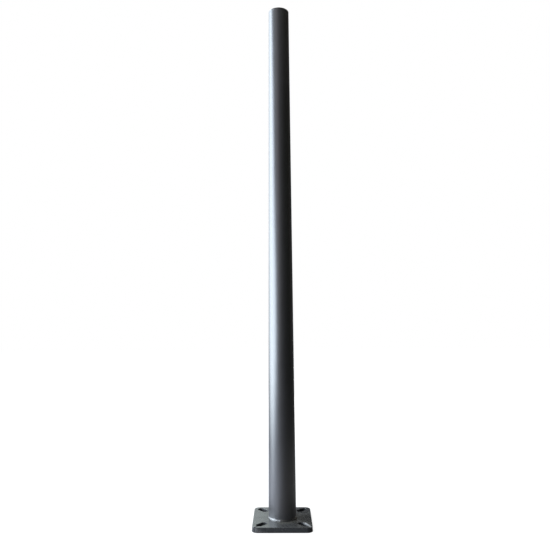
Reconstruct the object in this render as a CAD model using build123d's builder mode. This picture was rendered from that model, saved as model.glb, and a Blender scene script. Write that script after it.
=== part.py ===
"""Tapered round steel pole on a square base plate with four radial anchor slots.

The shaft is rolled sheet closed by one seam, let into the plate and welded to it above and below.
Millimetres, +Z up, origin at the centre of the plate's underside.
X and Y run through the anchor slots, so the plate's sides stand at 45 degrees to them.
"""

import os
from math import degrees

from build123d import *

# Whole pole, from the plate's underside to the top of the cap
pole_height = 2438.4
cut_overrun = 5.0

# Base plate
plate_side = 266.7
plate_thickness = 22.2
plate_corner_radius = 25.4
plate_top_round = 2.0
plate_bottom_break = 1.0
plate_turn = 45

# Anchor slots, one towards each corner of the plate
slot_count = 4
bolt_circle = 260.35
slot_length = 55.6
slot_width = 28.6
slot_rim_break = 1.0

# Shaft, whose diameter shrinks by a share of its length
shaft_foot_diameter = 127.0
shaft_taper_share = 0.14 / 12
shaft_wall = 3.04
shaft_foot_height = 8.0
socket_clearance = 0.3

# Welds between the shaft and the plate
base_weld_leg = 10.0
base_weld_bulge = 1.2
socket_weld_leg = 6.0

# Seam of the rolled sheet, on the far side of the shaft beside the hand hole
seam_width = 7.0
seam_height = 0.8
seam_angle = 75

# Hand hole: a rim set through the shaft's wall, with two lugs for the cover's screws
hand_hole_angle = 135
hand_hole_height = 457.2
rim_length = 133.35
rim_width = 69.85
rim_wall = 6.35
rim_depth = 25.4
rim_proud = 5.0
rim_edge_break = 1.5
rim_gap = 0.25
lug_length = 19.0
lug_thickness = 5.0

# Hand hole cover
cover_thickness = 3.2
cover_overhang = 2.5
cover_edge_break = 1.2
cover_spigot = 3.0
cover_clearance = 1.0
cover_screw_hole = 6.6
lug_screw_hole = 5.2

# Grounding nut, welded to the inside of the shaft opposite the hand hole
nut_across_flats = 19.05
nut_thickness = 11.1
nut_hole = 10.7
nut_seat_gap = 0.2

# Top cap: a flush disc with a spigot ring inside the shaft
cap_thickness = 4.8
cap_edge_break = 1.0
spigot_depth = 25.4
spigot_wall = 3.2
spigot_clearance = 0.3

# Places that several pieces share
shaft_top = pole_height - cap_thickness


def outer_radius(height):
    """Radius of the shaft's outside at a height above the plate's underside."""
    return (shaft_foot_diameter - shaft_taper_share * (height - shaft_foot_height)) / 2


def inner_radius(height):
    """Radius of the shaft's inside at a height above the plate's underside."""
    return outer_radius(height) - shaft_wall


socket_radius = outer_radius(shaft_foot_height) + socket_clearance
weld_toe_height = plate_thickness + base_weld_leg
rim_face = outer_radius(hand_hole_height - rim_length / 2) + rim_proud
opening_length = rim_length - 2 * rim_wall
opening_width = rim_width - 2 * rim_wall
screw_spacing = opening_length - lug_length
lug_face = rim_face - cover_spigot - cover_clearance

# Plane through the pole's axis that faces out of the hand hole, with its X pointing up
hand_hole_plane = Plane(
    origin=(0, 0, hand_hole_height),
    x_dir=(0, 0, 1),
    z_dir=Vector(1, 0, 0).rotate(Axis.Z, hand_hole_angle),
)
hand_hole_axis = Axis(hand_hole_plane.origin, hand_hole_plane.z_dir)

# Upright plane through the pole's axis where the seam starts
seam_plane = Plane(
    origin=(0, 0, 0),
    x_dir=Vector(1, 0, 0).rotate(Axis.Z, seam_angle),
    z_dir=Vector(0, -1, 0).rotate(Axis.Z, seam_angle),
)
seam_arc = degrees(seam_width / outer_radius(shaft_foot_height))

os.makedirs("parts", exist_ok=True)

# Base plate: rounded square with softened edges, slots with broken rims and a round socket
with BuildPart() as base_plate:
    with BuildSketch():
        RectangleRounded(plate_side, plate_side, plate_corner_radius, rotation=plate_turn)
    extrude(amount=plate_thickness)
    fillet(base_plate.edges().group_by(Axis.Z)[-1], plate_top_round)
    chamfer(base_plate.edges().group_by(Axis.Z)[0], plate_bottom_break)
    with BuildSketch(Plane.XY.offset(-cut_overrun)):
        with PolarLocations(bolt_circle / 2, slot_count):
            SlotOverall(slot_length, slot_width)
    extrude(amount=plate_thickness + 2 * cut_overrun, mode=Mode.SUBTRACT)
    chamfer(base_plate.edges(Select.LAST).group_by(Axis.Z)[-1], slot_rim_break)
    with Locations((0, 0, plate_thickness)):
        Hole(socket_radius)
base_plate.part.label = "base_plate"
export_step(base_plate.part, "parts/base_plate.step")

# Shaft: a long hollow cone that stops short of the plate's underside, cut for the hand hole
with BuildPart() as shaft:
    with BuildSketch(Plane.XZ):
        with BuildLine():
            Polyline(
                (inner_radius(shaft_foot_height), shaft_foot_height),
                (outer_radius(shaft_foot_height), shaft_foot_height),
                (outer_radius(shaft_top), shaft_top),
                (inner_radius(shaft_top), shaft_top),
                close=True,
            )
        make_face()
    revolve(axis=Axis.Z)
    with BuildSketch(hand_hole_plane):
        SlotOverall(rim_length + 2 * rim_gap, rim_width + 2 * rim_gap)
    extrude(amount=rim_face + cut_overrun, mode=Mode.SUBTRACT)
shaft.part.label = "shaft"
export_step(shaft.part, "parts/shaft.step")

# Base weld: convex fillet bead round the shaft on top of the plate
with BuildPart() as base_weld:
    with BuildSketch(Plane.XZ):
        with BuildLine():
            root = Vector(outer_radius(plate_thickness), plate_thickness)
            plate_toe = Vector(outer_radius(plate_thickness) + base_weld_leg, plate_thickness)
            shaft_toe = Vector(outer_radius(weld_toe_height), weld_toe_height)
            middle = (plate_toe + shaft_toe) / 2
            crown = middle + (middle - root).normalized() * base_weld_bulge
            Polyline(root, plate_toe, crown, shaft_toe, close=True)
        make_face()
    revolve(axis=Axis.Z)
base_weld.part.label = "base_weld"
export_step(base_weld.part, "parts/base_weld.step")

# Socket weld: bead under the shaft's foot, against the wall of the plate's socket
with BuildPart() as socket_weld:
    with BuildSketch(Plane.XZ):
        with BuildLine():
            Polyline(
                (inner_radius(shaft_foot_height), shaft_foot_height),
                (outer_radius(shaft_foot_height), shaft_foot_height - socket_weld_leg),
                (outer_radius(shaft_foot_height), shaft_foot_height),
                close=True,
            )
        make_face()
    revolve(axis=Axis.Z)
socket_weld.part.label = "socket_weld"
export_step(socket_weld.part, "parts/socket_weld.step")

# Seam weld: low bead up the whole shaft, from the base weld to the cap
with BuildPart() as seam_weld:
    with BuildSketch(seam_plane):
        with BuildLine():
            Polyline(
                (outer_radius(weld_toe_height), weld_toe_height),
                (outer_radius(weld_toe_height) + seam_height, weld_toe_height),
                (outer_radius(shaft_top) + seam_height, shaft_top),
                (outer_radius(shaft_top), shaft_top),
                close=True,
            )
        make_face()
    revolve(axis=Axis.Z, revolution_arc=seam_arc)
seam_weld.part.label = "seam_weld"
export_step(seam_weld.part, "parts/seam_weld.step")

# Hand hole rim: obround tube through the wall, with a lug across each end of its opening
with BuildPart() as hand_hole_rim:
    with BuildSketch(hand_hole_plane.offset(rim_face)):
        SlotOverall(rim_length, rim_width)
    extrude(amount=-rim_depth)
    chamfer(hand_hole_rim.edges().group_by(hand_hole_axis)[-1], rim_edge_break)
    with BuildSketch(hand_hole_plane.offset(rim_face + cut_overrun)):
        SlotOverall(opening_length, opening_width)
    extrude(amount=-rim_depth - 2 * cut_overrun, mode=Mode.SUBTRACT)
    with BuildSketch(hand_hole_plane.offset(lug_face)):
        SlotOverall(rim_length - rim_wall, rim_width - rim_wall)
        Rectangle(opening_length - 2 * lug_length, rim_width, mode=Mode.SUBTRACT)
    extrude(amount=-lug_thickness)
    with BuildSketch(hand_hole_plane.offset(lug_face + cut_overrun)):
        with GridLocations(screw_spacing, 0, 2, 1):
            Circle(lug_screw_hole / 2)
    extrude(amount=-lug_thickness - 2 * cut_overrun, mode=Mode.SUBTRACT)
hand_hole_rim.part.label = "hand_hole_rim"
export_step(hand_hole_rim.part, "parts/hand_hole_rim.step")

# Hand hole cover: obround plate on the rim, with a spigot that locates it in the opening
with BuildPart() as hand_hole_cover:
    with BuildSketch(hand_hole_plane.offset(rim_face)):
        SlotOverall(rim_length + 2 * cover_overhang, rim_width + 2 * cover_overhang)
    extrude(amount=cover_thickness)
    chamfer(hand_hole_cover.edges().group_by(hand_hole_axis)[-1], cover_edge_break)
    with BuildSketch(hand_hole_plane.offset(rim_face)):
        SlotOverall(opening_length - 2 * cover_clearance, opening_width - 2 * cover_clearance)
    extrude(amount=-cover_spigot)
    with BuildSketch(hand_hole_plane.offset(rim_face + cover_thickness + cut_overrun)):
        with GridLocations(screw_spacing, 0, 2, 1):
            Circle(cover_screw_hole / 2)
    extrude(amount=-cover_thickness - cover_spigot - 2 * cut_overrun, mode=Mode.SUBTRACT)
hand_hole_cover.part.label = "hand_hole_cover"
export_step(hand_hole_cover.part, "parts/hand_hole_cover.step")

# Grounding nut: hexagon set square against the inside wall, its corners just clear of it
nut_corner_radius = nut_across_flats / 3**0.5
nut_wall_radius = inner_radius(hand_hole_height + nut_corner_radius) - nut_seat_gap
nut_back = (nut_wall_radius**2 - nut_corner_radius**2) ** 0.5
with BuildPart() as ground_nut:
    with BuildSketch(hand_hole_plane.offset(-nut_back)):
        RegularPolygon(nut_corner_radius, 6)
        Circle(nut_hole / 2, mode=Mode.SUBTRACT)
    extrude(amount=nut_thickness)
ground_nut.part.label = "ground_nut"
export_step(ground_nut.part, "parts/ground_nut.step")

# Top cap: disc flush with the shaft, with a ring that plugs the shaft's mouth
spigot_radius = inner_radius(shaft_top) - spigot_clearance
with BuildPart() as top_cap:
    with BuildSketch(Plane.XY.offset(shaft_top)):
        Circle(outer_radius(shaft_top))
    extrude(amount=cap_thickness)
    chamfer(top_cap.edges().group_by(Axis.Z)[-1], cap_edge_break)
    with BuildSketch(Plane.XY.offset(shaft_top)):
        Circle(spigot_radius)
        Circle(spigot_radius - spigot_wall, mode=Mode.SUBTRACT)
    extrude(amount=-spigot_depth)
top_cap.part.label = "top_cap"
export_step(top_cap.part, "parts/top_cap.step")
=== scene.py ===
import bmesh
import bpy
import numpy as np
from mathutils import Matrix


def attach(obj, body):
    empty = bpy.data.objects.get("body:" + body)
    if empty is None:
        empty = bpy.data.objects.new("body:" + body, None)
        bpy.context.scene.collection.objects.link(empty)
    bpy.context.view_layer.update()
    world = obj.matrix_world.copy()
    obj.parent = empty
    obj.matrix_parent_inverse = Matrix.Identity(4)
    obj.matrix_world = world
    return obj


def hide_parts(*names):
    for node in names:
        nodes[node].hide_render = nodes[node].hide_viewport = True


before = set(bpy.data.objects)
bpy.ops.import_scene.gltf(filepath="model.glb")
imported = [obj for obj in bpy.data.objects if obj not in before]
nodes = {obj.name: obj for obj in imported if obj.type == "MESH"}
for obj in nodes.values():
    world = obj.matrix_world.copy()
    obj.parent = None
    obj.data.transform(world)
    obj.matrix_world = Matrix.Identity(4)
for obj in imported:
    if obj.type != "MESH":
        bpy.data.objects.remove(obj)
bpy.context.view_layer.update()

# Base plate: thick square steel plate with four radial slots for the anchor bolts. Its corners are
# cut round, its top edges are ground soft, and it is sprayed with the rest of the pole after welding.
UP = np.array([0.0, 0.0, 1.0])
PLATE_TURN = 45
PLATE_CORNER = 0.0254
SLOT_REACH = 0.1581
SLOT_HALF_WIDTH = 0.0143
GRAPHITE = (0.029, 0.030, 0.033, 1.0)
GRAPHITE_PALE = (0.038, 0.039, 0.042, 1.0)
FLECK = (0.070, 0.072, 0.077, 1.0)
THIN_EDGE = (0.090, 0.091, 0.093, 1.0)
# Pale steel tone: the slots' walls take a little of it, and it paints a highlight from the near right slot
# to the corner.
PALE_STEEL_AND_GLINT = (0.440, 0.438, 0.434, 1.0)
SITE_DUST = (0.105, 0.102, 0.090, 1.0)
# Near-black tone of a painted shade line from the near left slot over its corner.
SHADE_LINE_TONE = (0.006, 0.006, 0.007, 1.0)


def level_axes(turn):
    """Level direction at an angle in degrees about the pole's axis, and the one a quarter turn further."""
    cosine = np.cos(np.radians(turn))
    sine = np.sin(np.radians(turn))
    return np.array([cosine, sine, 0.0]), np.array([-sine, cosine, 0.0])


PLATE_RIGHT, PLATE_AWAY = level_axes(PLATE_TURN)


def span(node, direction):
    """Lowest and highest reach of a CAD node along a direction: its corners' dot products with it."""
    mesh = nodes[node].data
    corners = np.empty(len(mesh.vertices) * 3, np.float32)
    mesh.vertices.foreach_get("co", corners)
    along = corners.reshape(-1, 3).astype(float) @ np.asarray(direction, float)
    return along.min(), along.max()


class Signal:
    """An output socket of a material. Arithmetic on signals adds Math nodes to the material's tree."""

    def __init__(self, tree, socket):
        self.tree = tree
        self.socket = socket

    def node(self, kind, settings=None, inputs=None, output=0):
        """Adds a node of a type: its settings first, then a value or a signal for each input socket."""
        made = self.tree.nodes.new(kind)
        for name, value in (settings or {}).items():
            setattr(made, name, value)
        for key, value in (inputs or {}).items():
            if isinstance(value, Signal):
                self.tree.links.new(value.socket, made.inputs[key])
            else:
                made.inputs[key].default_value = value
        return Signal(self.tree, made.outputs[output])

    def maths(self, operation, *values):
        """Adds a Math node that works on values or signals."""
        return self.node("ShaderNodeMath", {"operation": operation}, dict(enumerate(values)))

    def __add__(self, other):
        return self.maths("ADD", self, other)

    def __radd__(self, other):
        return self.maths("ADD", other, self)

    def __sub__(self, other):
        return self.maths("SUBTRACT", self, other)

    def __rsub__(self, other):
        return self.maths("SUBTRACT", other, self)

    def __mul__(self, other):
        return self.maths("MULTIPLY", self, other)

    def __rmul__(self, other):
        return self.maths("MULTIPLY", other, self)

    def __pow__(self, other):
        return self.maths("POWER", self, other)

    def __abs__(self):
        return self.maths("ABSOLUTE", self)

    def least(self, other):
        return self.maths("MINIMUM", self, other)

    def most(self, other):
        return self.maths("MAXIMUM", self, other)

    def rise(self, low, high):
        """0 below low, 1 above high and a smooth step between; low above high turns it over."""
        settings = {"interpolation_type": "SMOOTHSTEP"}
        ends = {"Value": self, "From Min": low, "From Max": high, "To Min": 0.0, "To Max": 1.0}
        return self.node("ShaderNodeMapRange", settings, ends)

    def band(self, start, stop):
        """1 between two soft ends. Each end gives where it is 0 and where it is 1."""
        return self.rise(*start) * self.rise(*stop)

    def tint(self, off, on):
        """Colour that goes from off to on with this signal, by the colour sockets of a Mix node."""
        return self.node("ShaderNodeMix", {"data_type": "RGBA"}, {0: self, 6: off, 7: on}, 2)

    def noise(self, cells, detail=2.0, roughness=0.5, stretch=(1.0, 1.0, 1.0)):
        """Cloudy noise from 0 to 1, with this signal as its place and so many cells to the metre."""
        place = self.node("ShaderNodeMapping", {"vector_type": "POINT"}, {"Vector": self, "Scale": stretch})
        inputs = {"Vector": place, "Scale": cells, "Detail": detail, "Roughness": roughness}
        return self.node("ShaderNodeTexNoise", None, inputs)

    def length(self):
        """Length of this signal as a vector."""
        return self.node("ShaderNodeVectorMath", {"operation": "LENGTH"}, {0: self}, "Value")

    def along(self, direction):
        """Dot product of this signal, as a vector, with a direction."""
        settings = {"operation": "DOT_PRODUCT"}
        return self.node("ShaderNodeVectorMath", settings, {0: self, 1: tuple(direction)}, "Value")

    def axes(self):
        """The three coordinates of this signal, each as a signal of its own."""
        parts = self.node("ShaderNodeSeparateXYZ", None, {0: self}).socket.node
        return [Signal(self.tree, socket) for socket in parts.outputs]


def object_place(material):
    """Signal of the Object coordinates in a material."""
    tree = material.node_tree
    return Signal(tree, tree.nodes.new("ShaderNodeTexCoord").outputs["Object"])


def new_finish(name):
    """New material with a Principled shader; gives it and a signal of its Object coordinates."""
    material = bpy.data.materials.new(name)
    material.use_nodes = True
    return material, object_place(material)


# Enamel: cells to the metre of its slow clouds, patches, spray dimples and flecks, and its mean roughness.
# The graphite in it makes it reflect more than clear enamel, less so in the thin coat on the plate.
CLOUD_CELLS = 4.0
CLOUD_ROUGHER = 0.07
PATCH_CELLS = 35.0
PATCH_ROUGHER = 0.10
DIMPLE_CELLS = 420.0
FLECK_CELLS = 2600.0
FLECK_SHARE = 0.35
PAINT_SATIN = 0.36
PLATE_SATIN = 0.26
PAINT_IOR = 2.2
PLATE_IOR = 1.5


def lay(coat, tone, share, rougher=None):
    """Lays a share of a tone over a coat of colour and roughness, and makes the coat rougher by a signal."""
    colour, roughness = coat
    return share.tint(colour, tone), roughness if rougher is None else roughness + rougher


def enamel(place, satin=PAINT_SATIN):
    """Coat and relief of the sprayed enamel: slow cloudy shade, fine pale flecks in the paint, and the
    soft dimples that spray leaves. Satin is its mean roughness."""
    cloud = place.noise(CLOUD_CELLS, detail=3.0)
    patch = place.noise(PATCH_CELLS, detail=3.0)
    fleck = place.noise(FLECK_CELLS, detail=1.0).rise(0.66, 0.78)
    colour = cloud.rise(0.3, 0.7).tint(GRAPHITE, GRAPHITE_PALE)
    roughness = satin + CLOUD_ROUGHER * (cloud - 0.5) + PATCH_ROUGHER * (patch - 0.5)
    return lay((colour, roughness), FLECK, FLECK_SHARE * fleck), place.noise(DIMPLE_CELLS)


def spray(material, place, coat, relief, depth, ior=PAINT_IOR, metallic=0.0):
    """Joins a coat, and a relief that runs from 0 to 1 over a depth in metres, to the material's shader."""
    tree = material.node_tree
    shader = tree.nodes["Principled BSDF"]
    bump = place.node("ShaderNodeBump", None, {"Strength": 1.0, "Distance": depth, "Height": relief})
    for socket, signal in zip(("Base Color", "Roughness", "Normal"), (*coat, bump)):
        tree.links.new(signal.socket, shader.inputs[socket])
    shader.inputs["IOR"].default_value = ior
    shader.inputs["Metallic"].default_value = metallic
    return material


def dress(piece, material):
    """Gives a piece one material in place of those it came with."""
    piece.data.materials.clear()
    piece.data.materials.append(material)


def corner_reach(place):
    """Distance past the square through the centres of the plate's corner rounds: 0 inside that square
    and the corners' radius on the plate's outline."""
    inset = span("base_plate", PLATE_RIGHT)[1] - PLATE_CORNER
    right = (abs(place.along(PLATE_RIGHT)) - inset).most(0.0)
    away = (abs(place.along(PLATE_AWAY)) - inset).most(0.0)
    return (right**2.0 + away**2.0) ** 0.5


# Where each mask on the plate starts and where it is full, in metres. Arrays are counted from an edge.
EDGE_BAND = np.array([-0.0032, -0.0006])
FACE_SKIN = np.array([-0.0010, -0.0002])
TRODDEN_NEAR = (0.0, 0.10)
DRIFT_NEAR = (0.035, 0.065)
DRIFT_RIGHT = (-0.04, 0.0)
DRIFT_REACH = (0.105, 0.074)
SLOT_SIDES = np.array([0.0016, 0.0006])
SLOT_RIM = np.array([-0.0006, -0.0014])
SLOT_FOOT = (0.0, 0.0008)
# Painted highlight: a pale strip over the upper wall of the near right slot and on to the plate's corner,
# for the slot's lit wall and the corner's glinting edge.
PAINTED_GLINT_ALONG, PAINTED_GLINT_ACROSS = level_axes(-18.8)
PAINTED_GLINT_OFF_AXIS = 0.0573
PAINTED_GLINT_SIDES = (0.008, 0.003)
PAINTED_GLINT_START = (0.098, 0.110)
PAINTED_GLINT_DEPTH = np.array([-0.009, -0.004])
# Painted shade: a ragged dark line from the near left slot over its corner.
SHADE_LINE_OFF_AXIS = 0.0045
SHADE_LINE_WAVER = 0.004
SHADE_LINE_SIDES = (0.0046, 0.0010)
SHADE_LINE_START = (-0.152, -0.158)

# Cells to the metre of the noise in the masks, and the share of its tone that each mask lays on the plate.
WEAR_CELLS = 55.0
GRIT_CELLS = 24.0
SHADE_LINE_CELLS = 110.0
SAWN_CELLS = 260.0
SAWN_STRETCH = (1.0, 1.0, 0.08)
GRIT_SHARE = 0.16
TRODDEN_SHARE = 0.22
DRIFT_SHARE = 0.85
EDGE_SHARE = 0.70
SIDE_SHARE = 0.62
SLOT_SHARE = 0.04
PAINTED_GLINT_LEAST = 0.65
PAINTED_GLINT_PATCHY = 0.30
SHADE_LINE_SHARE = 0.90


def plate_finish():
    """Enamel, worn pale along the plate's ground edges and on its sides. Its upper face is gritty and dusty,
    most before the weld. A pale steel strip from the near right slot to the corner is a painted highlight of
    the slot's lit wall and the corner's edge, and a dark line from the near left slot over its corner is
    painted shade."""
    material, place = new_finish("plate_enamel")
    coat, relief = enamel(place, PLATE_SATIN)
    x, y, z = place.axes()
    near = place.along(-PLATE_AWAY)
    top = span("base_plate", UP)[1]
    on_top = z.rise(*(top + FACE_SKIN))
    near_top = z.rise(*(top + EDGE_BAND))
    near_rim = corner_reach(place).rise(*(PLATE_CORNER + EDGE_BAND))
    patchy = place.noise(WEAR_CELLS, detail=4.0, roughness=0.65).rise(0.42, 0.66)

    grit = place.noise(GRIT_CELLS, detail=5.0, roughness=0.7).rise(0.45, 0.8) * on_top
    drift = near.rise(*DRIFT_NEAR) * place.along(PLATE_RIGHT).rise(*DRIFT_RIGHT)
    drift = drift * place.length().rise(*DRIFT_REACH)
    trodden = (TRODDEN_SHARE * near.rise(*TRODDEN_NEAR) + DRIFT_SHARE * drift) * on_top
    coat = lay(coat, SITE_DUST, GRIT_SHARE * grit + trodden, rougher=0.16 * grit)
    worn = near_rim * near_top * patchy
    coat = lay(coat, THIN_EDGE, EDGE_SHARE * worn, rougher=0.06 * worn)

    in_slot = abs(x).least(abs(y)).rise(*(SLOT_HALF_WIDTH + SLOT_SIDES))
    in_slot = in_slot * abs(x).most(abs(y)).rise(*(SLOT_REACH + SLOT_SIDES))
    in_slot = in_slot * z.band(SLOT_FOOT, top + SLOT_RIM)
    # Painted highlight on the near right slot's lit upper wall and on the edge out to its corner.
    painted_glint = abs(place.along(PAINTED_GLINT_ACROSS) - PAINTED_GLINT_OFF_AXIS).rise(*PAINTED_GLINT_SIDES)
    painted_glint = painted_glint * place.along(PAINTED_GLINT_ALONG).rise(*PAINTED_GLINT_START)
    painted_glint = painted_glint * z.rise(*(top + PAINTED_GLINT_DEPTH)) * (PAINTED_GLINT_LEAST + PAINTED_GLINT_PATCHY * patchy)
    coat = lay(coat, PALE_STEEL_AND_GLINT, painted_glint.most(SLOT_SHARE * in_slot), rougher=0.2 * in_slot)

    sides = near_rim * (1.0 - near_top)
    coat = lay(coat, THIN_EDGE, SIDE_SHARE * sides)
    # Painted shade: a ragged dark line from the near left slot over its corner, a little rougher.
    ragged = place.noise(SHADE_LINE_CELLS, detail=4.0, roughness=0.6) - 0.5
    shade_line = (abs(x - SHADE_LINE_OFF_AXIS) + SHADE_LINE_WAVER * ragged).rise(*SHADE_LINE_SIDES) * y.rise(*SHADE_LINE_START)
    coat = lay(coat, SHADE_LINE_TONE, SHADE_LINE_SHARE * shade_line, rougher=0.6 * shade_line)
    sawn = place.noise(SAWN_CELLS, detail=3.0, stretch=SAWN_STRETCH) * sides.most(in_slot)
    return spray(material, place, coat, 0.3 * relief + sawn, depth=0.00016, ior=PLATE_IOR)


dress(nodes["base_plate"], plate_finish())

# Shaft: sheet steel rolled to a long cone and welded along one seam, let into the plate's socket.
# An obround opening near its foot, on the far side, takes the rim of the hand hole.
ALONG_X = np.array([1.0, 0.0, 0.0])
FOOT_RADIUS = span("shaft", ALONG_X)[1]
TOP_RADIUS = span("top_cap", ALONG_X)[1]
SHAFT_FOOT, SHAFT_TOP = span("shaft", UP)
SHAFT_WALL = 0.00304
HAND_HOLE_TURN = 135
HAND_HOLE_OUT, HAND_HOLE_SIDE = level_axes(HAND_HOLE_TURN)
RIM_LOW, RIM_HIGH = span("hand_hole_rim", UP)
RIM_HALF_WIDTH = span("hand_hole_rim", HAND_HOLE_SIDE)[1]
RIM_MIDDLE = (RIM_LOW + RIM_HIGH) / 2
RIM_STRAIGHT = (RIM_HIGH - RIM_LOW) / 2 - RIM_HALF_WIDTH
RIM_GAP = 0.00025
FINE_TURN = 0.72
FINE_MARGIN = 0.008
FINE_COLUMNS = 80
FAR_COLUMNS = 110
LOW_ROWS = 16
FINE_ROWS = 76
HIGH_ROWS = 50
MEETING = 1e-6
SHARP_ANGLE = 40
RUNS_CELLS = 38.0
RUNS_STRETCH = (1.0, 1.0, 0.02)
RUNS_SHARE = 0.10
SPLASH_HEIGHT = (0.30, 0.03)
SPLASH_CELLS = 60.0
SPLASH_SHARE = 0.18
WAVE_CELLS = 9.0
WAVE_STRETCH = (1.0, 1.0, 0.35)


def shaft_radius(height):
    """Outside radius of the shaft, falling evenly from its foot to its top."""
    share = (height - SHAFT_FOOT) / (SHAFT_TOP - SHAFT_FOOT)
    return FOOT_RADIUS + share * (TOP_RADIUS - FOOT_RADIUS)


def round_point(radius, angle, height):
    """Points at a radius and an angle about the pole's axis, at a height."""
    return np.stack(np.broadcast_arrays(radius * np.cos(angle), radius * np.sin(angle), height), -1)


def crisp(mesh):
    """Smooth shading that breaks where faces meet at more than the sharp angle."""
    mesh.shade_smooth()
    mesh.set_sharp_from_angle(angle=np.radians(SHARP_ANGLE))


def grid_quads(number):
    """Corners of the quad in each cell of a grid of point numbers."""
    return np.stack([number[:-1, :-1], number[:-1, 1:], number[1:, 1:], number[1:, :-1]], -1)


def new_object(name, points, quads, material):
    """Object whose mesh has these points and quads, in one material."""
    mesh = bpy.data.meshes.new(name)
    mesh.from_pydata(points.tolist(), [], quads.reshape(-1, 4).tolist())
    mesh.materials.append(material)
    made = bpy.data.objects.new(name, mesh)
    bpy.context.scene.collection.objects.link(made)
    return made


def grid_piece(name, grid, material, ring_rows=False, ring_columns=False, keep=None):
    """Piece of the pole on a grid of points, with a quad in each cell or in the cells that keep marks. A
    grid that runs round joins its last row or column to its first. Points that meet are merged, so that
    a row drawn to one point closes as a pole."""
    rows, columns = grid.shape[:2]
    number = np.arange(rows * columns).reshape(rows, columns)
    if ring_rows:
        number = np.concatenate([number, number[:1]], 0)
    if ring_columns:
        number = np.concatenate([number, number[:, :1]], 1)
    quads = grid_quads(number)
    used, quads = np.unique(quads if keep is None else quads[keep], return_inverse=True)
    piece = new_object(name, grid.reshape(-1, 3)[used], quads, material)
    shell = bmesh.new()
    shell.from_mesh(piece.data)
    bmesh.ops.remove_doubles(shell, verts=shell.verts, dist=MEETING)
    shell.to_mesh(piece.data)
    shell.free()
    crisp(piece.data)
    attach(piece, "root")
    return piece


def shaft_grid():
    """Cone on a grid of height by angle, finer round the hand hole. Cells that lie wholly inside the
    hole's obround outline are left out, and corners just inside it are pushed out to the outline."""
    middle = np.radians(HAND_HOLE_TURN)
    near = np.linspace(-FINE_TURN, FINE_TURN, FINE_COLUMNS)
    far = np.linspace(FINE_TURN, 2 * np.pi - FINE_TURN, FAR_COLUMNS)[1:-1]
    below = np.linspace(SHAFT_FOOT, RIM_LOW - FINE_MARGIN, LOW_ROWS)[:-1]
    beside = np.linspace(RIM_LOW - FINE_MARGIN, RIM_HIGH + FINE_MARGIN, FINE_ROWS)
    above = np.linspace(RIM_HIGH + FINE_MARGIN, SHAFT_TOP, HIGH_ROWS)[1:]
    heights = np.concatenate([below, beside, above])
    angles = middle + np.concatenate([near, far])
    height, angle = np.meshgrid(heights, angles, indexing="ij")
    turn = angle - middle
    sideways = shaft_radius(height) * np.sin(turn)
    past_straight = height - RIM_MIDDLE
    past_straight -= np.clip(past_straight, -RIM_STRAIGHT, RIM_STRAIGHT)
    reach = np.hypot(sideways, past_straight)
    hole = RIM_HALF_WIDTH + RIM_GAP
    inside = (reach < hole) & (np.cos(turn) > 0)
    ring = np.concatenate([inside, inside[:, :1]], 1)
    keep = ~(ring[:-1, :-1] & ring[1:, :-1] & ring[:-1, 1:] & ring[1:, 1:])
    push = np.where(inside, hole / np.maximum(reach, MEETING), 1.0)
    height = height + (push - 1) * past_straight
    radius = shaft_radius(height)
    on_outline = middle + np.arcsin(np.clip(push * sideways / radius, -1, 1))
    return round_point(radius, np.where(inside, on_outline, angle), height), keep


def settle(piece):
    """Puts the piece's modifiers into its mesh."""
    bpy.context.view_layer.update()
    shape = piece.evaluated_get(bpy.context.evaluated_depsgraph_get())
    piece.data = bpy.data.meshes.new_from_object(shape)
    piece.modifiers.clear()
    crisp(piece.data)


def shaft_finish():
    """Enamel with the slow waves that rolling leaves in the sheet, faint runs down the shaft, and a
    little splashed grit that fades out above the foot."""
    material, place = new_finish("shaft_enamel")
    coat, relief = enamel(place)
    runs = place.noise(RUNS_CELLS, detail=3.0, roughness=0.6, stretch=RUNS_STRETCH)
    coat = lay(coat, FLECK, RUNS_SHARE * runs.rise(0.45, 0.75), rougher=0.05 * (runs - 0.5))
    splash = place.along(UP).rise(*SPLASH_HEIGHT)
    splash = splash * place.noise(SPLASH_CELLS, detail=5.0, roughness=0.7).rise(0.5, 0.78)
    coat = lay(coat, SITE_DUST, SPLASH_SHARE * splash, rougher=0.14 * splash)
    waves = place.noise(WAVE_CELLS, detail=1.0, stretch=WAVE_STRETCH)
    return spray(material, place, coat, 0.35 * relief + 0.9 * waves, depth=0.00022)


shaft_points, shaft_keep = shaft_grid()
shaft = grid_piece("shaft_tube", shaft_points, shaft_finish(), ring_columns=True, keep=shaft_keep)
wall = shaft.modifiers.new("wall", "SOLIDIFY")
wall.thickness = SHAFT_WALL
wall.offset = -1.0
settle(shaft)
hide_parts("shaft")

# Seam weld: one low machine-laid bead up the far side of the shaft, where the rolled sheet closes.
# It is brushed and painted over, and it dies out at the base weld and at the cap.
SEAM_TURN = 78.15
SEAM_HALF_WIDTH = 0.0035
SEAM_HEIGHT = 0.0008
SEAM_SUNK = 0.0004
SEAM_END = 0.006
SEAM_ROWS = 700
SEAM_FACE = np.linspace(-1, 1, 9)
SEAM_BACK = np.linspace(1, -1, 5)[1:-1]
SEAM_WAVES = ((0.06, 91, 0.0), (0.05, 37, 1.3), (0.03, 210, 0.0))
WELD_SATIN = 0.28
WELD_DUST_CELLS = 90.0


def waver(along, waves):
    """1 and a sum of sines along a piece, each with its share, its pace and its start."""
    total = np.ones_like(along)
    for share, pace, start in waves:
        total = total + share * np.sin(along * pace + start)
    return total


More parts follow.
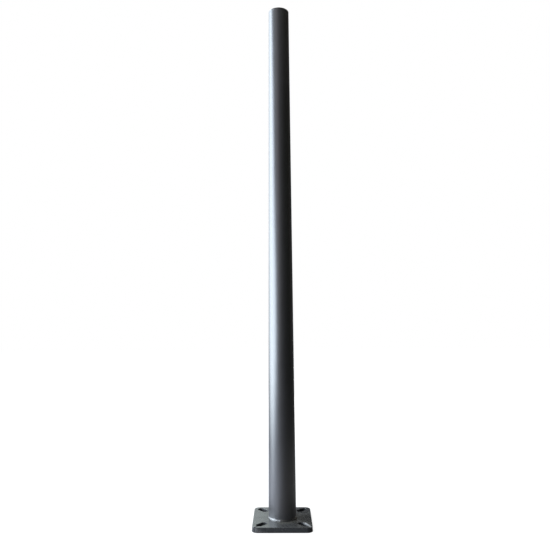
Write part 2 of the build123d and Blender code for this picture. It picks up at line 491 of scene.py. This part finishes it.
def seam_grid():
    """Lens-shaped profile carried up the shaft: height times one less the square of the share across.
    Its width and height waver slowly and shrink to nothing at both ends."""
    low, high = span("seam_weld", UP)
    height = np.linspace(low, high, SEAM_ROWS)[:, None]
    across = np.concatenate([SEAM_FACE, SEAM_BACK])[None, :]
    sunk = np.full_like(SEAM_BACK, -SEAM_SUNK / SEAM_HEIGHT)
    crown = np.concatenate([1 - SEAM_FACE**2, sunk])[None, :]
    swell = waver(height, SEAM_WAVES)
    ends = np.minimum(1, np.minimum(height - low, high - height) / SEAM_END) ** 0.5
    radius = shaft_radius(height) + SEAM_HEIGHT * crown * swell * ends
    angle = np.radians(SEAM_TURN) + SEAM_HALF_WIDTH * across * swell * ends / FOOT_RADIUS
    return round_point(radius, angle, height)


def weld_finish(name, cells, depth, dust=0.0):
    """Enamel over a weld: it pools glossy in the bead over a fine puddled relief, and a share of dust may
    lie on it."""
    material, place = new_finish(name)
    coat, relief = enamel(place, WELD_SATIN)
    if dust:
        coat = lay(coat, SITE_DUST, dust * place.noise(WELD_DUST_CELLS, detail=3.0).rise(0.25, 0.6))
    return spray(material, place, coat, 0.2 * relief + place.noise(cells), depth)


seam = grid_piece(
    "seam_bead",
    seam_grid(),
    weld_finish("seam_enamel", cells=320.0, depth=0.00012),
    ring_columns=True,
)
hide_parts("seam_weld")

# Base weld: heavy hand-laid fillet that joins the shaft to the top of the plate all round. Its ripples
# overlap like scales, its legs swell and shrink, and stops and starts leave lumps.
PLATE_TOP = span("base_plate", UP)[1]
BASE_WELD_LEG = span("base_weld", UP)[1] - PLATE_TOP
PLATE_LEG_SHARE = 0.34
PLATE_LEG_MOST = 0.8
SHAFT_LEG_LEAST = 0.35
SHAFT_LEG_SHARE = 0.5
BASE_WELD_BULGE = 0.0009
BASE_WELD_SCALE = 0.00045
BASE_WELD_ROOT = 0.0005
BASE_WELD_RIPPLES = 118
BASE_WELD_COLUMNS = 1180
BASE_WELD_ROWS = 15
BASE_WELD_SLOPE = 0.707
BASE_WELD_WAVES = ((0.05, 5, 0.4), (0.04, 13, 0.0))
BASE_WELD_LUMPS = (
    (-2.35, 0.42, -0.34),
    (-1.42, 0.16, 0.20),
    (-0.92, 0.07, 0.18),
    (-0.25, 0.45, -0.42),
    (0.55, 0.10, 0.16),
    (2.1, 0.13, 0.2),
    (3.2, 0.1, 0.15),
)
RIPPLE_BEND = 0.9


def ripple(along, across, count):
    """Overlapping scales, bent back at both sides of the bead: the square root of a saw tooth, cut down at
    its crest by the tooth's sixth power, less a half."""
    phase = (along * count / (2 * np.pi) - RIPPLE_BEND * (across - 0.5) ** 2) % 1.0
    return np.sqrt(np.clip(phase, 0, 1)) * (1 - phase**6) - 0.5


def lumps(along, places):
    """Sum of bell-shaped swellings, each with its angle, its width in radians and its height."""
    total = np.zeros_like(along)
    for angle, width, height in places:
        off = (along - angle + np.pi) % (2 * np.pi) - np.pi
        total = total + height * np.exp(-((off / width) ** 2))
    return total


def base_weld_grid():
    """Convex fillet carried round the shaft: from the toe on the plate over a sine-shaped crown to the
    toe on the shaft, with ripples on its face, and back along the root."""
    along = np.linspace(0, 2 * np.pi, BASE_WELD_COLUMNS, endpoint=False)[None, :]
    across = np.linspace(0, 1, BASE_WELD_ROWS)[:, None]
    swell = waver(along, BASE_WELD_WAVES) + lumps(along, BASE_WELD_LUMPS)
    plate_leg = BASE_WELD_LEG * np.minimum(PLATE_LEG_SHARE * swell, PLATE_LEG_MOST)
    shaft_leg = BASE_WELD_LEG * np.minimum(SHAFT_LEG_LEAST + SHAFT_LEG_SHARE * swell, 1.0)
    crown = np.sin(np.pi * across)
    scale = BASE_WELD_SCALE * ripple(along, across, BASE_WELD_RIPPLES)
    out = BASE_WELD_BULGE * swell * crown + scale * crown**0.5
    radius = shaft_radius(PLATE_TOP) + plate_leg * (1 - across) + out * BASE_WELD_SLOPE
    height = PLATE_TOP + shaft_leg * across + out * BASE_WELD_SLOPE
    radius = np.concatenate([radius, np.full_like(along, shaft_radius(PLATE_TOP) - BASE_WELD_ROOT)])
    height = np.concatenate([height, np.full_like(along, PLATE_TOP)])
    return round_point(radius, np.broadcast_to(along, radius.shape), height)


base_bead = grid_piece(
    "base_bead",
    base_weld_grid(),
    weld_finish("base_weld_enamel", cells=240.0, depth=0.00015, dust=0.6),
    ring_rows=True,
    ring_columns=True,
)
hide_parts("base_weld")

# Socket weld: second bead, laid from below between the shaft's foot and the wall of the socket, so
# that the plate's underside stays flat on its foundation.
SOCKET_LOW, SOCKET_HIGH = span("socket_weld", UP)
SOCKET_OUT = span("socket_weld", ALONG_X)[1]
SOCKET_WELD_BULGE = 0.0002
SOCKET_WELD_SCALE = 0.0003
SOCKET_WELD_RIPPLES = 96
SOCKET_WELD_COLUMNS = 720
SOCKET_WELD_ROWS = 9
SOCKET_WELD_SLOPE = 0.7


def socket_weld_grid():
    """Fillet carried round the socket: from the shaft's inner edge down to the wall, bulging by a sine,
    with ripples, and back up the wall and under the foot."""
    along = np.linspace(0, 2 * np.pi, SOCKET_WELD_COLUMNS, endpoint=False)[None, :]
    across = np.linspace(0, 1, SOCKET_WELD_ROWS)[:, None]
    crown = np.sin(np.pi * across)
    scale = SOCKET_WELD_SCALE * ripple(along, across, SOCKET_WELD_RIPPLES)
    out = SOCKET_WELD_BULGE * crown + scale * crown
    radius = SOCKET_OUT - SHAFT_WALL * (1 - across) - out * SOCKET_WELD_SLOPE
    height = SOCKET_HIGH - (SOCKET_HIGH - SOCKET_LOW) * across - out * SOCKET_WELD_SLOPE
    radius = np.concatenate([radius, np.full_like(along, SOCKET_OUT)])
    height = np.concatenate([height, np.full_like(along, SOCKET_HIGH)])
    return round_point(radius, np.broadcast_to(along, radius.shape), height)


socket_bead = grid_piece(
    "socket_bead",
    socket_weld_grid(),
    weld_finish("socket_weld_enamel", cells=240.0, depth=0.0001, dust=0.3),
    ring_rows=True,
    ring_columns=True,
)
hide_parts("socket_weld")

# Hand hole rim: obround steel ring set through the shaft's wall to stiffen the opening, fixed by a
# small fillet weld all round on the outside. The ring stays as built; the weld is laid here.
RIM_WELD_LEG = 0.0042
RIM_WELD_RISE = 0.9
RIM_WELD_BULGE_ASIDE = 0.35
RIM_WELD_BULGE_OUT = 0.25
RIM_WELD_SCALE = 0.0003
RIM_WELD_RIPPLES = 92
RIM_WELD_COLUMNS = 640
RIM_WELD_ROWS = 9
RIM_WELD_WAVES = ((0.06, 7, 0.0), (0.05, 17, 1.0))
RIM_WELD_INSET = 0.0004
RIM_WELD_ROOT = 0.0006


def rim_finish():
    """Plain enamel with its spray dimples."""
    material, place = new_finish("rim_enamel")
    coat, relief = enamel(place)
    return spray(material, place, coat, relief, depth=0.00008)


def on_wall(flat):
    """Distance from the axis, out of the hand hole, of the shaft's surface at flat places on it: the root of
    its radius squared less the place's side step squared."""
    return np.sqrt(shaft_radius(RIM_MIDDLE + flat[..., 1]) ** 2 - flat[..., 0] ** 2)


def rim_weld_grid():
    """Small fillet carried round the rim's obround outline, where it leaves the curved wall: from a toe
    on the rim over a sine crown to a toe on the shaft, with ripples, and back along the root."""
    turn = np.linspace(0, 2 * np.pi, RIM_WELD_COLUMNS, endpoint=False)
    away = np.stack([np.cos(turn), np.sin(turn)], -1)
    start = RIM_HALF_WIDTH * away
    start[:, 1] += RIM_STRAIGHT * np.sign(away[:, 1])
    across = np.linspace(0, 1, RIM_WELD_ROWS)[:, None]
    crown = np.sin(np.pi * across)
    scale = RIM_WELD_SCALE * ripple(turn[None, :], across, RIM_WELD_RIPPLES) * crown
    leg = RIM_WELD_LEG * waver(turn, RIM_WELD_WAVES)
    step = across * leg + RIM_WELD_BULGE_ASIDE * leg * crown + scale
    aside = start[None] + step[..., None] * away[None]
    out = on_wall(aside) + (1 - across) * leg * RIM_WELD_RISE + RIM_WELD_BULGE_OUT * leg * crown + scale
    root = start[None] * (1 - RIM_WELD_INSET / RIM_HALF_WIDTH)
    aside = np.concatenate([aside, root])
    out = np.concatenate([out, on_wall(root) - RIM_WELD_ROOT])
    height = RIM_MIDDLE + aside[..., 1]
    grid = aside[..., :1] * HAND_HOLE_SIDE + out[..., None] * HAND_HOLE_OUT + height[..., None] * UP
    return grid[::-1]


dress(nodes["hand_hole_rim"], rim_finish())
grid_piece(
    "rim_bead",
    rim_weld_grid(),
    weld_finish("rim_weld_enamel", cells=300.0, depth=0.00012),
    ring_rows=True,
    ring_columns=True,
)

# Hand hole cover: pressed steel plate that closes the rim, held by two button-head socket screws of
# zinc-plated steel that thread into the lugs behind it.
COVER_FACE = span("hand_hole_cover", HAND_HOLE_OUT)[1]
COVER_HALF_WIDTH = span("hand_hole_cover", HAND_HOLE_SIDE)[1]
COVER_EDGE = np.array([-0.0022, -0.0008])
COVER_SKIN = np.array([-0.0024, -0.0010])
RUB_CELLS = 150.0
RUBBED_SHARE = 0.75
SCUFF = np.array([0.00220, 0.00066])
SCUFF_SHARE = 0.7
SCREW_OFF_MIDDLE = 0.050825
SCREW_SPIN = 0.5
HEAD_RADIUS = 0.0059
HEAD_HEIGHT = 0.0034
HEAD_COLUMNS = 96
HEAD_FOOT_SHARE = 0.97
HEAD_FOOT = 0.0003
DOME_SHARES = np.linspace(1.0, 0.46, 10)
DOME_DROP = 0.72
DOME_POWER = 2.4
SOCKET_ACROSS_FLATS = 0.0040
SOCKET_DEPTH = 0.0021
SOCKET_DRILLED = 0.0004
LIP_SHARE = 1.06
LIP_RISE = 0.0001
LIP_DROP = 0.0002
ZINC = (0.46, 0.47, 0.48, 1.0)
ZINC_DULL = (0.28, 0.285, 0.29, 1.0)
ZINC_CELLS = 700.0
GRAIN_CELLS = 2400.0


def cover_finish():
    """Enamel, rubbed thin in patches along the cover's broken edge and in a ring round each screw, where
    a key has turned. Distances are taken from the obround's middle line and from the screws' axes."""
    material, place = new_finish("cover_enamel")
    coat, relief = enamel(place)
    aside = abs(place.along(HAND_HOLE_SIDE))
    off_middle = abs(place.along(UP) - RIM_MIDDLE)
    past_straight = (off_middle - RIM_STRAIGHT).most(0.0)
    reach = (aside**2.0 + past_straight**2.0) ** 0.5
    off_screw = (aside**2.0 + abs(off_middle - SCREW_OFF_MIDDLE) ** 2.0) ** 0.5
    patchy = place.noise(RUB_CELLS, detail=4.0, roughness=0.65).rise(0.40, 0.64)
    edge = reach.rise(*(COVER_HALF_WIDTH + COVER_EDGE))
    edge = edge * place.along(HAND_HOLE_OUT).rise(*(COVER_FACE + COVER_SKIN))
    ring = off_screw.rise(*(HEAD_RADIUS + SCUFF))
    rubbed = edge.most(SCUFF_SHARE * ring) * patchy
    coat = lay(coat, THIN_EDGE, RUBBED_SHARE * rubbed, rougher=0.08 * rubbed)
    return spray(material, place, coat, relief, depth=0.00008)


def zinc_finish():
    """Zinc plate: metal with dull clouds and a fine grain."""
    material, place = new_finish("zinc_plate")
    cloud = place.noise(ZINC_CELLS, detail=3.0)
    coat = (cloud.rise(0.35, 0.7).tint(ZINC, ZINC_DULL), 0.26 + 0.2 * cloud)
    return spray(material, place, coat, place.noise(GRAIN_CELLS), depth=0.00002, metallic=1.0)


def screw_head_grid():
    """Button head turned about its own axis: flat base, short rim, dome that falls off with a power of its
    radius, then a hexagon socket with a drilled floor. Rows give radius and height."""
    turn = np.linspace(0, 2 * np.pi, HEAD_COLUMNS, endpoint=False)
    hexagon = SOCKET_ACROSS_FLATS / 2 / np.cos((turn + np.pi / 6) % (np.pi / 3) - np.pi / 6)
    dome = HEAD_HEIGHT * (1 - DOME_DROP * DOME_SHARES**DOME_POWER)
    circle = np.ones_like(turn)
    floor = HEAD_HEIGHT - SOCKET_DEPTH
    radius = [0 * circle, HEAD_FOOT_SHARE * HEAD_RADIUS * circle, HEAD_RADIUS * circle]
    height = [0.0, 0.0, HEAD_FOOT]
    radius += [HEAD_RADIUS * share * circle for share in DOME_SHARES]
    height += list(dome)
    radius += [hexagon * LIP_SHARE, hexagon, hexagon, 0 * circle]
    height += [dome[-1] + LIP_RISE, dome[-1] - LIP_DROP, floor, floor - SOCKET_DRILLED]
    return np.stack(radius), np.stack([level * circle for level in height]), turn


dress(nodes["hand_hole_cover"], cover_finish())
zinc = zinc_finish()
head_radius, head_height, head_turn = screw_head_grid()
for side, step in (("upper", 1.0), ("lower", -1.0)):
    centre = HAND_HOLE_OUT * COVER_FACE + UP * (RIM_MIDDLE + step * SCREW_OFF_MIDDLE)
    spin = head_turn + SCREW_SPIN * step
    spokes = np.cos(spin)[:, None] * HAND_HOLE_SIDE + np.sin(spin)[:, None] * UP
    grid_piece(
        f"cover_screw_{side}",
        centre + head_radius[..., None] * spokes + head_height[..., None] * HAND_HOLE_OUT,
        zinc,
        ring_columns=True,
    )

# Grounding nut: plated hexagon nut welded to the inside of the shaft, opposite the hand hole.
# It stays as built and is seen only from below, up the cable way.
dress(nodes["ground_nut"], zinc)

# Top cap: steel disc that closes the shaft flush, held by a ring that plugs its mouth. It is
# sprayed with the shaft and weathers a little duller on its flat top.
CAP_SKIN = np.array([-0.0006, -0.0001])
BLOOM_CELLS = 40.0
BLOOM_SHARE = 0.3


def cap_finish():
    """Enamel with a faint bloom of dust on the flat top."""
    material, place = new_finish("cap_enamel")
    coat, relief = enamel(place)
    bloom = place.along(UP).rise(*(span("top_cap", UP)[1] + CAP_SKIN))
    bloom = bloom * place.noise(BLOOM_CELLS, detail=4.0, roughness=0.65).rise(0.35, 0.75)
    coat = lay(coat, SITE_DUST, BLOOM_SHARE * bloom, rougher=0.2 * bloom)
    return spray(material, place, coat, relief, depth=0.00008)


dress(nodes["top_cap"], cap_finish())

# Studio: pale seamless floor and a white surround. Cards that only the paint's reflections meet stand round
# it and lie on the floor: a dark yard in front and on the right, a pale sky and a low hedge behind on the
# left, and the ground. Angles are in degrees round the pole, to the left of the camera's side.
FLOOR_HALF = 14.0
FLOOR_ALBEDO = (0.16, 0.16, 0.16, 1.0)
FLOOR_NEAR_GLOW = (0.935, 0.935, 0.935, 1.0)
FLOOR_WHITENS = (0.9, 2.6)
PLATE_EDGE_FADE = 0.003
WHITE = (1.0, 1.0, 1.0, 1.0)
BLACK = (0.0, 0.0, 0.0, 1.0)
SURROUND_LIGHT = 0.10
CARD_RADIUS = 6.0
CARD_TOP = 9.0
CARD_COLUMNS = 40
CARD_FROM = -181.5
CARD_TO = 42
SKY_FROM = 152
SKY_BEHIND = 0.1
SKY = (1.37, 1.56, 1.52, 1.0)
HEDGE_FROM = 118
HEDGE_TOP = 0.7
HEDGE = (0.60, 0.60, 0.60, 1.0)
YARD_DARK = (0.034, 0.034, 0.028, 1.0)
YARD_DUSK = (0.86, 0.77, 0.79, 1.0)
DUSK_SWING = (-12, CARD_TO)
GLEAM_SWING = (-50, -10)
GLEAM_SHARE = 0.065
DUSK_DIMS = (4.4, 6.0)
DUSK_LOSS = 0.5
GROUND_HEIGHT = 0.0015
GROUND_LIT = (1.02, 1.08, 1.28, 1.0)
GROUND_LEFT = (0.72, 0.77, 0.90, 1.0)
GROUND_STRIP = (1.42, 1.50, 1.78, 1.0)
GROUND_DIM = (0.18, 0.18, 0.18, 1.0)
GROUND_SHADE = (0.155, 0.155, 0.155, 1.0)
GROUND_NIGHT = (0.015, 0.015, 0.015, 1.0)
GROUND_PATCH = (1.75, 1.8, 1.95, 1.0)
GROUND_CLOSE = (0.20, 0.45)
GROUND_FAR = (0.6, 3.0)
LIT_SWING = (-30, 70)
LEFT_SWING = (95, 125)
STRIP_SWING = ((55, 82), (122, 92))
SHADE_SWING = ((-75, 5), (150, 100))
PATCH_SWING = ((27, 40), (50, 43))


def seen_directly(tree):
    """1 for camera, glossy and transmission rays, 0 for the rays that light surfaces."""
    path = tree.nodes.new("ShaderNodeLightPath")
    camera_ray = Signal(tree, path.outputs["Is Camera Ray"])
    glossy_ray = Signal(tree, path.outputs["Is Glossy Ray"])
    return camera_ray.most(glossy_ray).most(Signal(tree, path.outputs["Is Transmission Ray"]))


def bare_material(name):
    """New material with an empty tree but for its output; gives it and that output."""
    material = bpy.data.materials.new(name)
    material.use_nodes = True
    material.node_tree.nodes.clear()
    material.cycles.emission_sampling = "NONE"
    return material, material.node_tree.nodes.new("ShaderNodeOutputMaterial")


def beside_plate(place):
    """0 under the plate and 1 just past its outline."""
    return corner_reach(place).rise(PLATE_CORNER, PLATE_CORNER + PLATE_EDGE_FADE)


def floor_finish():
    """White that stays white to the eye, dimmed a little where the pole shades it, with painted shade: its
    glow is black under the plate and fades in just past the outline as a painted contact shadow. Its glow
    rises to full white away from the pole, so that it meets the surround without a line."""
    material, output = bare_material("studio_floor")
    tree = material.node_tree
    seen = seen_directly(tree)
    place = object_place(material)
    colour = place.length().rise(*FLOOR_WHITENS).tint(FLOOR_NEAR_GLOW, WHITE)
    # Painted shade: black under the plate, fading in just past its outline as a painted contact shadow.
    colour = beside_plate(place).tint(BLACK, colour)
    glow = seen.node("ShaderNodeEmission", None, {"Color": colour, "Strength": seen})
    matt = seen.node("ShaderNodeBsdfDiffuse", None, {"Color": FLOOR_ALBEDO})
    both = seen.node("ShaderNodeAddShader", None, {0: glow, 1: matt})
    tree.links.new(both.socket, output.inputs["Surface"])
    return material


def card_finish(name):
    """Card that glows; gives it, its glow and a signal of its Object coordinates."""
    material, output = bare_material(name)
    tree = material.node_tree
    glow = tree.nodes.new("ShaderNodeEmission")
    tree.links.new(glow.outputs[0], output.inputs["Surface"])
    return material, glow, object_place(material)


def plain_card(name, colour):
    """Card of one even colour."""
    material, glow, _ = card_finish(name)
    glow.inputs["Color"].default_value = colour
    return material


def left_swing(place):
    """Angle in degrees round the pole's axis, to the left of the camera's side: an arc tangent of how far
    left and how near a place is."""
    swing = place.maths("ARCTAN2", place.along(-PLATE_RIGHT), place.along(-PLATE_AWAY))
    return swing.maths("DEGREES", swing)


def yard_card():
    """Dark yard as the paint reflects it: nearly black on the right, with a faint gleam in front, and dusky
    where it nears the light wall, less so high up."""
    material, glow, place = card_finish("yard_card")
    swing = left_swing(place)
    dusk = swing.rise(*DUSK_SWING).most(GLEAM_SHARE * swing.rise(*GLEAM_SWING))
    dusk = dusk * (1.0 - DUSK_LOSS * place.along(UP).rise(*DUSK_DIMS))
    colour = dusk.tint(YARD_DARK, YARD_DUSK)
    material.node_tree.links.new(colour.socket, glow.inputs["Color"])
    return material


def ground_card():
    """Ground as the paint reflects it: lit on the left, with a brighter strip there, dim on the right and
    black further off. Close to the plate it is shaded, but for a lit patch before the left corner, and
    under the plate it is black."""
    material, glow, place = card_finish("ground_card")
    swing = left_swing(place)
    colour = swing.rise(*LIT_SWING).tint(GROUND_DIM, GROUND_LIT)
    colour = swing.rise(*LEFT_SWING).tint(colour, GROUND_LEFT)
    colour = swing.band(*STRIP_SWING).tint(colour, GROUND_STRIP)
    shade = swing.band(*SHADE_SWING).tint(GROUND_NIGHT, GROUND_SHADE)
    shade = swing.band(*PATCH_SWING).tint(shade, GROUND_PATCH)
    colour = place.length().rise(*GROUND_CLOSE).tint(shade, colour)
    colour = place.length().rise(*GROUND_FAR).tint(colour, BLACK)
    colour = beside_plate(place).tint(BLACK, colour)
    material.node_tree.links.new(colour.socket, glow.inputs["Color"])
    return material


def place_at(right, away, up):
    """Point given as the camera sees it: to the right, away from the camera, and up."""
    level = np.multiply.outer(right, PLATE_RIGHT) + np.multiply.outer(away, PLATE_AWAY)
    return level + np.multiply.outer(up, UP)


def stage_sheet(name, grid, material):
    """Sheet on a grid of points for the studio; unlike the pole's pieces it is attached to no body."""
    rows, columns = grid.shape[:2]
    quads = grid_quads(np.arange(rows * columns).reshape(rows, columns))
    sheet = new_object(name, grid.reshape(-1, 3), quads, material)
    return sheet


def level_sheet(name, half, height, material):
    """Square sheet about the pole's axis at a height, out to half its side."""
    reach = np.array([-half, half])
    return stage_sheet(name, place_at(reach[None, :], reach[:, None], np.full((2, 2), height)), material)


def curved_sheet(name, radius, start, stop, top, material):
    """Upright sheet on part of a circle round the pole, from start to stop, turned left from the camera."""
    swing = np.radians(np.linspace(start, stop, CARD_COLUMNS))[None, :]
    rise = np.array([0.0, top])[:, None]
    right = -radius * np.sin(swing) + 0 * rise
    away = -radius * np.cos(swing) + 0 * rise
    return stage_sheet(name, place_at(right, away, rise + 0 * swing), material)


def for_reflections_only(sheet):
    """Leaves a sheet in sight of glossy rays alone."""
    sheet.visible_camera = False
    sheet.visible_diffuse = False
    sheet.visible_transmission = False
    sheet.visible_shadow = False


level_sheet("floor", FLOOR_HALF, 0.0, floor_finish())
for_reflections_only(curved_sheet("dark_yard", CARD_RADIUS, CARD_FROM, CARD_TO, CARD_TOP, yard_card()))
cards = (
    ("pale_sky", CARD_RADIUS + SKY_BEHIND, SKY_FROM, CARD_TOP, SKY),
    ("low_hedge", CARD_RADIUS, HEDGE_FROM, HEDGE_TOP, HEDGE),
)
for name, radius, start, top, colour in cards:
    card = curved_sheet(name, radius, start, 360 + CARD_FROM, top, plain_card(name, colour))
    for_reflections_only(card)
for_reflections_only(level_sheet("ground", CARD_RADIUS, GROUND_HEIGHT, ground_card()))

world = bpy.data.worlds.new("surround")
world.use_nodes = True
world.cycles.sampling_method = "NONE"
surround = SURROUND_LIGHT + (1.0 - SURROUND_LIGHT) * seen_directly(world.node_tree)
background = world.node_tree.nodes["Background"]
background.inputs["Color"].default_value = WHITE
world.node_tree.links.new(surround.socket, background.inputs["Strength"])
bpy.context.scene.world = world

# Lights: tall curved wall of lit cloth on the left, which gives the bright band up the shaft. A soft lamp
# behind on the left lights the far side, and a low one behind on the right lifts the side in shade.
KEY_COLOUR = (0.86, 0.965, 1.07, 1.0)
KEY_LOW_COLOUR = (0.98, 1.10, 1.22, 1.0)
KEY_EDGE_COLOUR = (0.72, 0.87, 1.18, 1.0)
BACK_COLOUR = (0.95, 0.98, 1.0)
FILL_COLOUR = (1.0, 0.99, 0.95)
WALL_RADIUS = 2.5
WALL_TOP = 4.6
WALL_FROM = 30
WALL_TO = 154
WALL_BRIGHTNESS = 6.7
WALL_DIM = (0.070, 0.072, 0.075, 1.0)
WALL_LEAN = 13.2
WALL_CURL_FROM = 2.2
WALL_FOLD = 9
WALL_FOLD_HEIGHT = ((1.75, 2.05), (2.4, 2.1))
WALL_FOOT = 73
WALL_FOOT_LEAN = 50
WALL_SOFT = 11
WALL_FAR = (155, 95)
WALL_FAR_IN = 16
WALL_FAR_IN_HEIGHT = (0.8, 0.0)
WALL_FAR_OUT = 3
WALL_FAR_OUT_HEIGHT = (1.0, 1.5)
WALL_LOW = (0.9, 0.3)
WATTS_FOR_WHITE = 4


def wall_finish():
    """Lit cloth, a little brighter low down. Its near edge is soft and bluer. With height it leans away from
    the camera, more and more towards the top and with a fold at mid height, and close to the floor it
    draws in again. The cloth dims slowly towards its far edge, sooner near the floor."""
    material, glow, place = card_finish("light_wall")
    material.cycles.emission_sampling = "FRONT_BACK"
    swing = left_swing(place)
    height = place.along(UP)
    lean = WALL_FROM + WALL_LEAN * height + (height - WALL_CURL_FROM).most(0.0) ** 2.0
    fold = WALL_FOLD * height.band(*WALL_FOLD_HEIGHT)
    edge = (lean + fold).most(WALL_FOOT - WALL_FOOT_LEAN * height)
    near = (swing - edge).rise(-WALL_SOFT, WALL_SOFT)
    drawn_in = WALL_FAR_IN * height.rise(*WALL_FAR_IN_HEIGHT)
    let_out = WALL_FAR_OUT * height.rise(*WALL_FAR_OUT_HEIGHT)
    far = (swing + drawn_in - let_out).rise(*WALL_FAR)
    lit = height.rise(*WALL_LOW).tint(KEY_COLOUR, KEY_LOW_COLOUR)
    lit = near.tint(KEY_EDGE_COLOUR, lit)
    colour = (near * far).tint(WALL_DIM, lit)
    material.node_tree.links.new(colour.socket, glow.inputs["Color"])
    glow.inputs["Strength"].default_value = WALL_BRIGHTNESS
    return material


light_wall = curved_sheet("light_wall", WALL_RADIUS, WALL_FROM, WALL_TO, WALL_TOP, wall_finish())
light_wall.visible_camera = False
light_wall.visible_shadow = False


def pose_matrix(eye, side, upward, back):
    """Matrix of a place and its three axes."""
    columns = np.eye(4)
    columns[:3] = np.stack([side, upward, back, eye], 1)
    return Matrix(columns.tolist())


def aim(eye, target):
    """Matrix that stands at eye and looks at target along its own -Z, with its X level."""
    back = (eye - target) / np.linalg.norm(eye - target)
    side = np.cross(UP, back)
    side /= np.linalg.norm(side)
    return pose_matrix(eye, side, np.cross(back, side), back)


def soft_lamp(name, stand, target, wide, tall, brightness, colour):
    """Rectangular lamp that looks from a stand to a target, as bright all over as a share of white."""
    bank = bpy.data.lights.new(name, "AREA")
    bank.shape = "RECTANGLE"
    bank.size = wide
    bank.size_y = tall
    bank.energy = brightness * WATTS_FOR_WHITE * wide * tall
    bank.color = colour
    lamp = bpy.data.objects.new(name, bank)
    lamp.visible_camera = False
    lamp.matrix_world = aim(place_at(*stand), place_at(*target))
    bpy.context.scene.collection.objects.link(lamp)
    return lamp


soft_lamp(
    "back_bank",
    stand=(-2.2, 3.2, 3.6),
    target=(0.0, 0.0, 2.6),
    wide=3.0,
    tall=4.0,
    brightness=1.1,
    colour=BACK_COLOUR,
)
fill = soft_lamp(
    "fill_bank",
    stand=(2.2, 3.3, 0.4),
    target=(0.0, 0.0, 1.2),
    wide=3.0,
    tall=0.7,
    brightness=40.0,
    colour=FILL_COLOUR,
)
fill.visible_glossy = False

# Camera: where the photo was taken from, about 2.6 m off and at waist height, turned and tipped as it was
# there. Yaw, pitch and roll are in radians, and the lens and its sensor in millimetres.
EYE = (0.00825, -2.63675, 0.93113)
EYE_YAW = -0.01313
EYE_PITCH = 0.07855
EYE_ROLL = -0.00685
LENS = 36.377
SENSOR = 36.0

level_ahead = np.sin(EYE_YAW) * PLATE_RIGHT + np.cos(EYE_YAW) * PLATE_AWAY
level_right = np.cos(EYE_YAW) * PLATE_RIGHT - np.sin(EYE_YAW) * PLATE_AWAY
ahead = np.cos(EYE_PITCH) * level_ahead + np.sin(EYE_PITCH) * UP
upright = np.cos(EYE_PITCH) * UP - np.sin(EYE_PITCH) * level_ahead
eye_right = np.cos(EYE_ROLL) * level_right + np.sin(EYE_ROLL) * upright
eye_up = np.cos(EYE_ROLL) * upright - np.sin(EYE_ROLL) * level_right
lens = bpy.data.cameras.new("photo_camera")
lens.lens = LENS
lens.sensor_width = SENSOR
camera = bpy.data.objects.new("photo_camera", lens)
camera.matrix_world = pose_matrix(place_at(*EYE), eye_right, eye_up, -ahead)
bpy.context.scene.collection.objects.link(camera)
bpy.context.scene.camera = camera
bpy.context.scene.view_settings.view_transform = "Standard"
